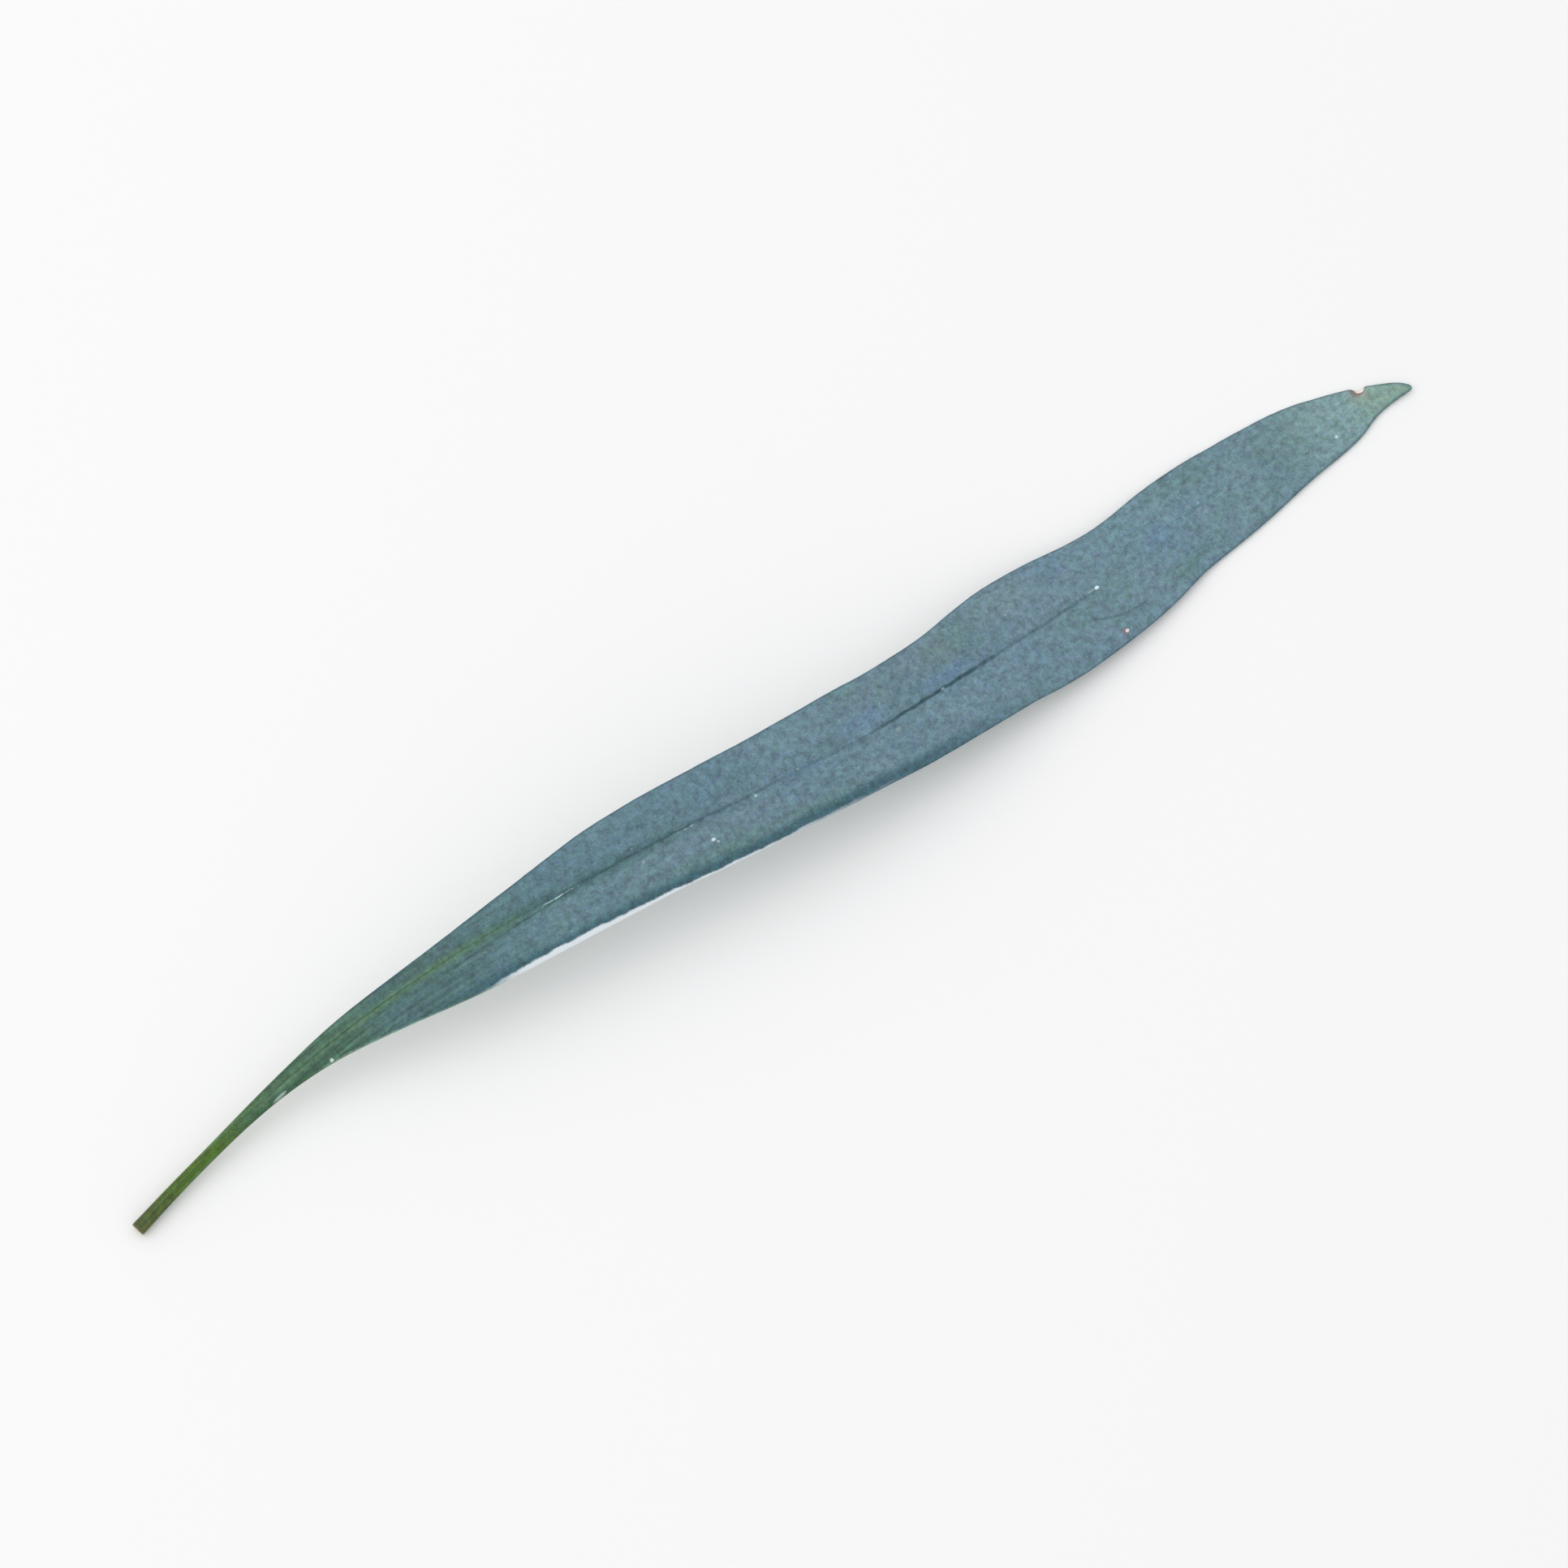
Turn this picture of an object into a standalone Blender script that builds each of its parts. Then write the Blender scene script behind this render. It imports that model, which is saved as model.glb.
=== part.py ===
"""A strap-shaped fern frond, picked with its stalk and lying face up on a table.

The frond grew as one piece, so it is one solid: a round stalk that flattens into a long leathery
blade, with a sunken midrib above, a raised rib below and gently waved edges.
Metres, +Z up. +X runs from the cut end of the stalk to the tip, and the origin is on the table
under the middle of the frond.
"""

import math

import bmesh
import bpy
from mathutils import Vector

# Driving dimensions
FROND_LENGTH = 0.150  # along the midrib, from the cut end to the tip
BLADE_WIDTH = 0.0133  # where the blade is widest
BLADE_THICKNESS = 0.00062  # halfway between midrib and edge
EDGE_THICKNESS = 0.00036
STALK_RADIUS = 0.00072
ARCH_HEIGHT = 0.0086  # how far the highest stretch of the midrib stands off the table
GROOVE_DEPTH = 0.00024  # of the midrib's groove in the upper face
RIB_DEPTH = 0.00060  # of the midrib's rib under the lower face, at the foot of the blade
RIB_DEPTH_AT_TIP = 0.00006
CROWN = 0.00030  # how far each half of the blade bulges upwards
WAVE_HEIGHT = 0.00040  # of the waves along the edges
WAVES = 4.3  # from one end of the frond to the other
LEFT_WAVE = 0.15  # where the waves of each edge start, as a share of one wave
RIGHT_WAVE = 0.62
STALK_CHANNEL = 0.16  # depth of the channel along the top of the stalk, as a share of its radius

# The grid that is rolled up into the frond
COLUMNS = 16  # faces round each section
QUARTER = COLUMNS // 4
ROWS = 40  # sections along the frond
CROWDING = 1.15  # above 1, the sections stand closer together towards the tip
COLUMN_PLACES = (0.0, 0.2, 0.54, 0.93, 1.0)  # shares of the way from the midrib to the edge

# Stretches of the frond, as shares of its length
BLADE_SPREADS = (0.08, 0.24)  # the round stalk flattens into the blade
GROOVE_OPENS = (0.12, 0.30)
GROOVE_CLOSES = (0.70, 0.82)
RIB_THINS = (0.25, 0.97)
CROWN_RISES = (0.30, 0.50)
WAVES_RISE = (0.25, 0.50)
WAVES_FADE = (0.90, 1.00)

# How far each edge stands from the midrib: a place along the frond, then left and right as shares
# of half the blade's width.
EDGES = [
    (0.000, 0.110, 0.110),
    (0.060, 0.100, 0.100),
    (0.110, 0.130, 0.130),
    (0.150, 0.185, 0.210),
    (0.175, 0.220, 0.310),
    (0.200, 0.235, 0.435),
    (0.220, 0.245, 0.530),
    (0.250, 0.290, 0.665),
    (0.280, 0.355, 0.760),
    (0.310, 0.440, 0.775),
    (0.340, 0.560, 0.790),
    (0.370, 0.680, 0.790),
    (0.420, 0.720, 0.805),
    (0.475, 0.775, 0.820),
    (0.530, 0.830, 0.815),
    (0.580, 0.835, 0.850),
    (0.610, 0.825, 0.885),
    (0.640, 0.875, 0.895),
    (0.665, 0.980, 0.905),
    (0.695, 1.010, 0.960),
    (0.720, 0.975, 0.955),
    (0.745, 0.870, 0.940),
    (0.775, 0.785, 0.905),
    (0.795, 0.805, 0.840),
    (0.815, 0.835, 0.760),
    (0.865, 0.770, 0.715),
    (0.910, 0.655, 0.565),
    (0.945, 0.475, 0.455),
    (0.975, 0.260, 0.205),
    (0.990, 0.145, 0.105),
    (1.000, 0.045, 0.045),
]

# How steeply the left and right halves rise from the midrib, in degrees: a channel in the lower
# half of the frond, and drooping sides towards the tip.
FOLDS = [
    (0.00, 0.0, 0.0),
    (0.08, 4.0, 4.0),
    (0.16, 13.0, 11.0),
    (0.27, 11.0, 7.0),
    (0.40, 8.0, 3.0),
    (0.50, 5.0, 1.0),
    (0.63, 1.5, -1.0),
    (0.73, -0.5, -2.5),
    (0.85, -3.0, -3.5),
    (0.93, -2.0, -1.5),
    (1.00, 0.0, 0.0),
]

# Where the midrib runs: shares of the length along and to the left, and a share of the arch's
# height, then the blade's roll in degrees.
MIDLINE = [
    (0.000, -0.0105, 0.130, 0.0),
    (0.045, 0.0000, 0.205, 0.0),
    (0.130, 0.0140, 0.430, 0.0),
    (0.230, 0.0178, 0.760, 3.0),
    (0.385, 0.0070, 1.000, 4.0),
    (0.500, -0.0036, 0.900, 3.0),
    (0.550, -0.0066, 0.790, 2.0),
    (0.600, -0.0054, 0.660, 1.0),
    (0.660, -0.0028, 0.460, 0.0),
    (0.720, 0.0001, 0.280, 0.0),
    (0.840, 0.0098, 0.120, 0.0),
    (0.915, 0.0118, 0.100, 0.0),
    (0.970, 0.0080, 0.100, 0.0),
    (1.003, -0.0025, 0.140, 0.0),
]


def through(knots, place):
    """The values at a place on a smooth line through knots, each a place followed by its values."""
    after = next((i for i, knot in enumerate(knots) if knot[0] >= place), len(knots) - 1)
    after = max(after, 1)
    before = after - 1
    span = knots[after][0] - knots[before][0]
    share = min(max((place - knots[before][0]) / span, 0.0), 1.0)

    def slope(knot, value):
        low = max(knot - 1, 0)
        high = min(knot + 1, len(knots) - 1)
        return (knots[high][value] - knots[low][value]) / (knots[high][0] - knots[low][0])

    values = []
    for value in range(1, len(knots[0])):
        start = knots[before][value]
        end = knots[after][value]
        leaving = slope(before, value) * span
        arriving = slope(after, value) * span
        values.append(
            start * (1 + 2 * share) * (1 - share) ** 2
            + leaving * share * (1 - share) ** 2
            + end * share**2 * (3 - 2 * share)
            - arriving * share**2 * (1 - share)
        )
    return values


def rise(stretch, place):
    """0 before the stretch, 1 after it and a smooth step along it."""
    low, high = stretch
    share = min(max((place - low) / (high - low), 0.0), 1.0)
    return share * share * (3 - 2 * share)


def stalk_point(turn):
    """A point on the stalk's round section, as distances to the left and up."""
    channel = STALK_CHANNEL * STALK_RADIUS * max(math.sin(turn), 0.0) ** 8
    return STALK_RADIUS * math.cos(turn), STALK_RADIUS * math.sin(turn) - channel


def blade_height(place, side, out, edge):
    """Height of the blade's middle layer above the midrib, on the left (side 1) or right (side -1)."""
    fold = through(FOLDS, place)[0 if side > 0 else 1]
    phase = LEFT_WAVE if side > 0 else RIGHT_WAVE
    wave = WAVE_HEIGHT * math.sin(2 * math.pi * (WAVES * place + phase))
    wave *= rise(WAVES_RISE, place) * (1 - rise(WAVES_FADE, place))
    crown = CROWN * rise(CROWN_RISES, place)
    return out * edge * math.tan(math.radians(fold)) + 4 * out * (1 - out) * crown + out**2 * wave


def blade_point(place, side, step, above):
    """A point on the blade's section: step 0 is on the midrib, and step QUARTER is on the edge."""
    edge = through(EDGES, place)[0 if side > 0 else 1] * BLADE_WIDTH / 2
    out = COLUMN_PLACES[step]
    height = blade_height(place, side, out, edge)
    if step == QUARTER:
        return side * edge, height
    narrowing = min(1.0, edge / (BLADE_WIDTH / 8))
    thickness = BLADE_THICKNESS + (EDGE_THICKNESS - BLADE_THICKNESS) * out**3
    thickness *= (1 + narrowing) / 2
    if above:
        groove = GROOVE_DEPTH * rise(GROOVE_OPENS, place) * (1 - rise(GROOVE_CLOSES, place))
        return side * out * edge, height + thickness / 2 - (groove if step == 0 else 0.0)
    rib = RIB_DEPTH + (RIB_DEPTH_AT_TIP - RIB_DEPTH) * rise(RIB_THINS, place)
    rib *= (1.0, 0.3, 0.0, 0.0)[step]
    return side * out * edge, height - thickness / 2 - rib


def section_point(place, column):
    """The point at one column of the section at this place along the frond, to the left and up."""
    turn = 2 * math.pi * column / COLUMNS
    round_left, round_up = stalk_point(turn)
    side = 1 if math.cos(turn) > 0 else -1
    step = abs(QUARTER - column % (2 * QUARTER))
    flat_left, flat_up = blade_point(place, side, step, above=column < 2 * QUARTER)
    flat = rise(BLADE_SPREADS, place)
    return round_left + (flat_left - round_left) * flat, round_up + (flat_up - round_up) * flat


def leaf_material():
    """Blue-green leathery leaf skin."""
    skin = bpy.data.materials.new("leaf_skin")
    skin.use_nodes = True
    shader = skin.node_tree.nodes["Principled BSDF"]
    shader.inputs["Base Color"].default_value = (0.105, 0.200, 0.230, 1.0)
    shader.inputs["Roughness"].default_value = 0.55
    shader.inputs["Metallic"].default_value = 0.0
    return skin


def midline_guide(collection):
    """The curve that the straight frond is bent along. It is a guide and isn't part of the frond."""
    curve = bpy.data.curves.new("frond_midline", "CURVE")
    curve.dimensions = "3D"
    curve.twist_mode = "Z_UP"
    curve.resolution_u = 24
    spline = curve.splines.new("BEZIER")
    spline.bezier_points.add(len(MIDLINE) - 1)
    for point, (along, left, up, roll) in zip(spline.bezier_points, MIDLINE):
        point.co = (along * FROND_LENGTH, left * FROND_LENGTH, up * ARCH_HEIGHT)
        point.tilt = math.radians(roll)
        point.handle_left_type = "AUTO"
        point.handle_right_type = "AUTO"
    guide = bpy.data.objects.new("frond_midline", curve)
    guide.hide_render = True
    guide.display_type = "WIRE"
    collection.objects.link(guide)
    return guide


def straight_frond():
    """The frond before it is bent: a grid rolled up round its sections, and closed at both ends."""
    bm = bmesh.new()
    bmesh.ops.create_grid(bm, x_segments=COLUMNS, y_segments=ROWS, size=1)
    for vert in bm.verts:
        column = round((vert.co.x + 1) / 2 * COLUMNS)
        place = 1 - ((1 - vert.co.y) / 2) ** CROWDING
        left, up = section_point(place, column)
        vert.co = (place * FROND_LENGTH, left, up)
    bmesh.ops.remove_doubles(bm, verts=bm.verts, dist=1e-6)
    bmesh.ops.holes_fill(bm, edges=[edge for edge in bm.edges if edge.is_boundary])
    bmesh.ops.recalc_face_normals(bm, faces=bm.faces)
    ends = [face for face in bm.faces if len(face.verts) == COLUMNS]
    cut_end = min(ends, key=lambda face: face.calc_center_median().x)
    crease = bm.edges.layers.float.new("crease_edge")
    for edge in cut_end.edges:
        edge[crease] = 1.0
    mesh = bpy.data.meshes.new("frond")
    bm.to_mesh(mesh)
    bm.free()
    mesh.shade_smooth()
    mesh.materials.append(leaf_material())
    return mesh


def bent_frond(collection, guide):
    """The frond itself: the straight one, smoothed and bent along the guide."""
    frond = bpy.data.objects.new("frond", straight_frond())
    collection.objects.link(frond)
    smooth = frond.modifiers.new("smooth", "SUBSURF")
    smooth.levels = 1
    smooth.render_levels = 1
    bend = frond.modifiers.new("bend", "CURVE")
    bend.object = guide
    bend.deform_axis = "POS_X"
    return frond


def bent_box(frond):
    """The lowest and highest corners of the box round the bent frond."""
    bpy.context.view_layer.update()
    bent = frond.evaluated_get(bpy.context.evaluated_depsgraph_get())
    points = [bent.matrix_world @ vert.co for vert in bent.data.vertices]
    lowest = Vector([min(point[axis] for point in points) for axis in range(3)])
    highest = Vector([max(point[axis] for point in points) for axis in range(3)])
    return lowest, highest


def main():
    for obj in list(bpy.data.objects):
        bpy.data.objects.remove(obj)
    parts = bpy.data.collections.new("fern_frond")
    guides = bpy.data.collections.new("guides")
    for collection in (parts, guides):
        bpy.context.scene.collection.children.link(collection)
    guide = midline_guide(guides)
    frond = bent_frond(parts, guide)
    lowest, highest = bent_box(frond)
    middle = (lowest + highest) / 2
    table = bpy.data.objects.new("table_point", None)
    table.location = (-middle.x, -middle.y, -lowest.z)
    guides.objects.link(table)
    guide.parent = table
    frond.parent = table


main()
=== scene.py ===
import math

import bmesh
import bpy
import numpy as np
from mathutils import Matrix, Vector


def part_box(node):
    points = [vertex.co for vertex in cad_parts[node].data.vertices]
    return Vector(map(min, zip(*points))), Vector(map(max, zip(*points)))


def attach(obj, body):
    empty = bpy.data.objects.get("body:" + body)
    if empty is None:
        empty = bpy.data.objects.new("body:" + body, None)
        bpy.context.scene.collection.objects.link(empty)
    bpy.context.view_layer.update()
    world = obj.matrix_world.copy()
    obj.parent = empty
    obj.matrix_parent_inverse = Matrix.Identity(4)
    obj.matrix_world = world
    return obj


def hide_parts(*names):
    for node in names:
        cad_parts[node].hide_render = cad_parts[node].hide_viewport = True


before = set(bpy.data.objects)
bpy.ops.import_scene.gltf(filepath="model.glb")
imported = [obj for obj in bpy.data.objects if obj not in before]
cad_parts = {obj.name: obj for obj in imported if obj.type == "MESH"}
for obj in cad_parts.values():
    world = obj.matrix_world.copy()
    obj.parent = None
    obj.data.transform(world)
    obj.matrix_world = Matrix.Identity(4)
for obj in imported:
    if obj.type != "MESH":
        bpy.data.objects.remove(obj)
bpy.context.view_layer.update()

# ---------------------------------------------------------------------------------------------
# Frond body. One living piece: a round wiry stalk that flattens into a leathery strap-shaped
# blade, thickest along its midrib. It grew like this, and was cut off at the stalk's foot.
# It is shaped straight and flat first, with the midrib along X, and bent as it lies last.
# ---------------------------------------------------------------------------------------------
MM = 0.001
FROND_LENGTH = 150.0
SIDES = 20
NEARBY = 0.01  # closer than this, two places count as one

# Millimetres from the cut end, then how far the left and the right edge stand from the midrib.
EDGES = [
    (0.0, 0.72, 0.72),
    (1.0, 0.70, 0.70),
    (6.0, 0.64, 0.64),
    (11.0, 0.66, 0.64),
    (15.0, 0.76, 0.76),
    (19.0, 0.97, 0.98),
    (22.5, 1.22, 1.37),
    (26.0, 1.44, 2.00),
    (29.5, 1.52, 2.80),
    (33.0, 1.62, 3.50),
    (37.5, 1.90, 4.40),
    (42.0, 2.35, 5.00),
    (46.5, 2.90, 5.10),
    (51.0, 3.70, 5.20),
    (55.0, 4.45, 5.20),
    (59.0, 4.62, 5.22),
    (63.0, 4.75, 5.32),
    (67.0, 4.90, 5.45),
    (71.0, 5.10, 5.40),
    (75.0, 5.22, 5.35),
    (79.0, 5.47, 5.36),
    (83.0, 5.71, 5.27),
    (87.0, 5.50, 5.58),
    (91.5, 5.42, 5.81),
    (96.0, 5.75, 5.90),
    (100.0, 6.50, 5.95),
    (104.0, 6.63, 6.31),
    (108.0, 6.40, 6.28),
    (112.0, 5.70, 6.18),
    (116.0, 5.16, 5.95),
    (119.4, 5.32, 5.50),
    (121.8, 5.50, 5.00),
    (125.5, 5.42, 4.95),
    (129.5, 5.05, 4.70),
    (133.5, 4.60, 4.17),
    (136.5, 4.32, 3.70),
    (139.0, 3.88, 3.40),
    (141.5, 3.15, 3.00),
    (143.2, 2.60, 2.60),
    (144.6, 2.16, 1.88),
    (146.0, 1.72, 1.32),
    (147.4, 1.28, 0.94),
    (148.6, 0.92, 0.64),
    (149.4, 0.50, 0.40),
    (149.8, 0.20, 0.16),
]

# Half the thickness at the midrib: the round stalk thins into the blade.
THICKNESS_PLACES = (0.0, 1.0, 11.0, 19.0, 28.0, 45.0, 90.0, 140.0, 149.0, 149.8)
HALF_THICKNESS = (0.72, 0.70, 0.65, 0.60, 0.50, 0.42, 0.34, 0.27, 0.20, 0.08)

# How the section is bent, in degrees: each half rises from the midrib, then droops at its edge.
BEND_PLACES = (0.0, 12.0, 24.0, 40.0, 60.0, 75.0, 95.0, 110.0, 128.0, 140.0, 150.0)
LEFT_RISE = (0.0, 4.0, 14.0, 13.0, 10.0, 7.0, 4.0, 2.0, 0.0, 0.0, 0.0)
RIGHT_RISE = (0.0, 4.0, 12.0, 12.0, 8.0, 5.0, 2.0, 0.0, 0.0, 1.0, 0.0)
LEFT_DROOP = (0.0, 0.0, 4.0, 10.0, 14.0, 12.0, 14.0, 16.0, 14.0, 8.0, 0.0)
RIGHT_DROOP = (0.0, 0.0, 12.0, 30.0, 34.0, 26.0, 16.0, 14.0, 16.0, 10.0, 0.0)
DROOPING_SHARE = 0.75

# The blade comes in and goes out again, so that the stalk and the tip stay smooth.
BLADE_PLACES = (24.0, 48.0, 140.0, 149.0)
BLADE_SHARE = (0.0, 1.0, 1.0, 0.0)

# The cut end's face: a narrow rim, and the flesh sunk a little inside it.
RIM_WIDTH = 0.05
FLESH_INSET = 0.25
FLESH_DEPTH = -0.04

# The groove along the upper face closes before the tip; the rib under it thins out.
GROOVE_HALF_WIDTH = 0.17
GROOVE_PLACES = (0.0, 8.0, 20.0, 45.0, 95.0, 108.0, 116.0, 150.0)
GROOVE_DEPTH = (0.0, 0.06, 0.14, 0.20, 0.22, 0.16, 0.02, 0.0)
RIB_PLACES = (0.0, 20.0, 35.0, 70.0, 110.0, 146.0, 150.0)
RIB_DEPTH = (0.0, 0.10, 0.42, 0.40, 0.25, 0.05, 0.0)

bpy.ops.object.select_all(action="DESELECT")
bpy.ops.mesh.primitive_circle_add(
    vertices=SIDES, radius=MM, fill_type="NGON", rotation=(math.pi / 2, 0, math.pi / 2)
)
frond_leaf = bpy.context.object
frond_leaf.name = "frond_leaf"
bpy.ops.object.transform_apply(rotation=True)
bpy.ops.object.mode_set(mode="EDIT")
bpy.ops.mesh.select_all(action="SELECT")
for start, stop in zip(EDGES[:-1], EDGES[1:]):
    step = (stop[0] - start[0]) * MM
    bpy.ops.mesh.extrude_region_move(TRANSFORM_OT_translate={"value": (step, 0, 0)})
bpy.ops.mesh.select_all(action="SELECT")
bpy.ops.mesh.normals_make_consistent(inside=False)


def in_ring(place, along):
    """Whether a point is in the ring of points that stands this far along."""
    return abs(place.x - along) < NEARBY


def edge_beside(place):
    """How far the edge on this point's side stands from the midrib."""
    ring_places, left_edges, right_edges = zip(*EDGES)
    return np.interp(place.x, ring_places, left_edges if place.y > 0 else right_edges)


def select_points(wanted):
    """Selects the points whose place in millimetres is wanted."""
    blade = bmesh.from_edit_mesh(bpy.context.object.data)
    bpy.ops.mesh.select_all(action="DESELECT")
    for point in blade.verts:
        point.select = bool(wanted(point.co / MM))
    blade.select_flush_mode()
    bmesh.update_edit_mesh(bpy.context.object.data)


def select_faces(wanted):
    """Selects the faces whose normal and middle, in millimetres, are wanted."""
    blade = bmesh.from_edit_mesh(bpy.context.object.data)
    bpy.ops.mesh.select_all(action="DESELECT")
    for face in blade.faces:
        face.select = bool(wanted(face.normal, face.calc_center_median() / MM))
    bmesh.update_edit_mesh(bpy.context.object.data)


# Upper skin, under skin and cut end are told apart while the frond is still a straight rod.
UPPER, UNDER, CUT_END = range(3)
for skin in ("upper_skin", "under_skin", "cut_end"):
    bpy.ops.object.material_slot_add()
    frond_leaf.active_material = bpy.data.materials.new(skin)
bpy.ops.mesh.select_mode(type="FACE")
for slot, wanted in (
    (UPPER, lambda normal, middle: normal.z > -NEARBY),
    (UNDER, lambda normal, middle: normal.z < -NEARBY),
    (CUT_END, lambda normal, middle: middle.x < NEARBY),
):
    select_faces(wanted)
    frond_leaf.active_material_index = slot
    bpy.ops.object.material_slot_assign()

# The outline: every ring of points is widened on each side and flattened.
bpy.ops.mesh.select_mode(type="VERT")
for along, left_edge, right_edge in EDGES:
    midrib = (along * MM, 0, 0)
    thickness = np.interp(along, THICKNESS_PLACES, HALF_THICKNESS)
    select_points(lambda place: in_ring(place, along))
    bpy.ops.transform.resize(value=(1, 1, thickness), center_override=midrib)
    for side, edge in ((1, left_edge), (-1, right_edge)):
        select_points(lambda place: in_ring(place, along) and place.y * side > NEARBY)
        bpy.ops.transform.resize(value=(1, edge, 1), center_override=midrib)

# The groove's banks, one each side of the line along the top.
select_points(lambda place: abs(place.y) < NEARBY and place.z > 0)
bpy.ops.mesh.bevel(offset=GROOVE_HALF_WIDTH * MM, segments=2, affect="EDGES")
bpy.ops.object.mode_set(mode="OBJECT")

# Two rulers that the skin's colours are laid out by, as shares of the frond's length: where a point
# is on the flat leaf, and how wide its half is there beside how far out it is, from 0 to 1.
leaf = frond_leaf.data
while leaf.uv_layers:
    leaf.uv_layers.remove(leaf.uv_layers[0])
flat_leaf = leaf.uv_layers.new(name="flat_leaf")
edge_ruler = leaf.uv_layers.new(name="edge_ruler")
for corner in leaf.loops:
    place = leaf.vertices[corner.vertex_index].co / MM
    edge = edge_beside(place)
    along = place.x / FROND_LENGTH
    flat_leaf.data[corner.index].uv = (along, 0.5 + place.y / FROND_LENGTH)
    edge_ruler.data[corner.index].uv = (edge / FROND_LENGTH, abs(place.y) / edge)

# The section: each half rises from the midrib and droops at its edge, the groove is pressed in
# and the rib let out. With no window, transform.rotate turns the other way, hence the signs.
bpy.ops.object.mode_set(mode="EDIT")
for along, left_edge, right_edge in EDGES:
    midrib = (along * MM, 0, 0)
    select_points(lambda place: in_ring(place, along) and abs(place.y) < NEARBY and place.z > 0)
    groove = np.interp(along, GROOVE_PLACES, GROOVE_DEPTH) * MM
    bpy.ops.transform.translate(value=(0, 0, -groove))
    select_points(lambda place: in_ring(place, along) and abs(place.y) < NEARBY and place.z < 0)
    rib = np.interp(along, RIB_PLACES, RIB_DEPTH) * MM
    bpy.ops.transform.translate(value=(0, 0, -rib))
    for side, edge, rises, droops in (
        (1, left_edge, LEFT_RISE, LEFT_DROOP),
        (-1, right_edge, RIGHT_RISE, RIGHT_DROOP),
    ):
        rise = math.radians(np.interp(along, BEND_PLACES, rises))
        droop = math.radians(np.interp(along, BEND_PLACES, droops))
        fold = DROOPING_SHARE * edge
        select_points(lambda place: in_ring(place, along) and place.y * side > fold)
        fold_line = (along * MM, side * fold * MM, 0)
        bpy.ops.transform.rotate(value=side * droop, orient_axis="X", center_override=fold_line)
        select_points(lambda place: in_ring(place, along) and place.y * side > NEARBY)
        bpy.ops.transform.rotate(value=-side * rise, orient_axis="X", center_override=midrib)

# The cut end keeps a crisp rim: its face is inset twice before the skin is smoothed.
bpy.ops.mesh.select_mode(type="FACE")
select_faces(lambda normal, middle: middle.x < NEARBY)
bpy.ops.mesh.inset(thickness=RIM_WIDTH * MM)
bpy.ops.mesh.inset(thickness=FLESH_INSET * MM, depth=FLESH_DEPTH * MM)
bpy.ops.object.mode_set(mode="OBJECT")


def finish_with(kind, **settings):
    """Adds a modifier of this kind to the frond and applies it."""
    made = frond_leaf.modifiers.new(kind.lower(), kind)
    for name, value in settings.items():
        setattr(made, name, value)
    bpy.ops.object.modifier_apply(modifier=made.name)


finish_with("SUBSURF", levels=3, render_levels=3)

# Waves along the edges, broad undulations of the blade and a fine leathery grain.
blade_weight = frond_leaf.vertex_groups.new(name="blade")
edge_weight = frond_leaf.vertex_groups.new(name="edges")
for point in leaf.vertices:
    place = point.co / MM
    blade = np.interp(place.x, BLADE_PLACES, BLADE_SHARE)
    outward = min(abs(place.y) / edge_beside(place), 1.0)
    blade_weight.add([point.index], blade, "REPLACE")
    edge_weight.add([point.index], blade * outward**2, "REPLACE")
for name, grain, depth, direction, group in (
    ("edge_waves", 11.0, 1.1, "Z", "edges"),
    ("undulation", 3.6, 0.20, "Z", "blade"),
    ("leathery_grain", 0.9, 0.035, "NORMAL", "blade"),
):
    relief = bpy.data.textures.new(name, "CLOUDS")
    relief.noise_scale = grain * MM
    relief.noise_depth = 2
    finish_with(
        "DISPLACE",
        texture=relief,
        texture_coords="LOCAL",
        strength=depth * MM,
        mid_level=0.5,
        direction=direction,
        vertex_group=group,
    )

# ---------------------------------------------------------------------------------------------
# Nick in the left edge, just short of the tip, where something bit or bruised the young frond.
# The edge healed round it, so it is a small rounded bay with no torn fibres.
# ---------------------------------------------------------------------------------------------
NICK_PLACE = 145.0
NICK_DEPTH = 0.38
NICK_REACH = 0.72
NICK_FLOOR = 0.14

bpy.ops.object.mode_set(mode="EDIT")
bpy.ops.mesh.select_mode(type="VERT")
edge_there = edge_beside(Vector((NICK_PLACE, 1.0, 0.0)))
select_points(
    lambda place: abs(place.x - NICK_PLACE) < NICK_FLOOR and place.y > edge_there - NICK_FLOOR
)
bpy.ops.transform.translate(
    value=(0, -NICK_DEPTH * MM, 0),
    use_proportional_edit=True,
    proportional_edit_falloff="SMOOTH",
    proportional_size=NICK_REACH * MM,
)
bpy.ops.object.mode_set(mode="OBJECT")

# ---------------------------------------------------------------------------------------------
# How the frond lies. The midrib wanders a little to each side, arches over the table between the
# cut end and the outer third of the blade, and hooks to the right at the tip.
# ---------------------------------------------------------------------------------------------
ARCH_HEIGHT = 8.5
MIDLINE_STEPS = 24
# Shares of the length along and to the left, and of the arch's height; then the roll in degrees.
MIDLINE = [
    (0.000, -0.0105, 0.137, 0.0),
    (0.045, 0.0000, 0.208, 0.0),
    (0.130, 0.0140, 0.43, 0.0),
    (0.230, 0.0178, 0.76, 3.0),
    (0.385, 0.0070, 1.00, 4.0),
    (0.500, -0.0036, 0.90, 3.0),
    (0.550, -0.0066, 0.79, 2.0),
    (0.600, -0.0054, 0.66, 1.0),
    (0.660, -0.0028, 0.46, 0.0),
    (0.720, 0.0001, 0.28, 0.0),
    (0.840, 0.0098, 0.12, 0.0),
    (0.915, 0.0118, 0.10, 0.0),
    (0.970, 0.0080, 0.10, 0.0),
    (1.003, -0.0025, 0.14, 0.0),
]
bpy.ops.object.select_all(action="DESELECT")
bpy.ops.curve.primitive_bezier_curve_add()
midline = bpy.context.object
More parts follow.
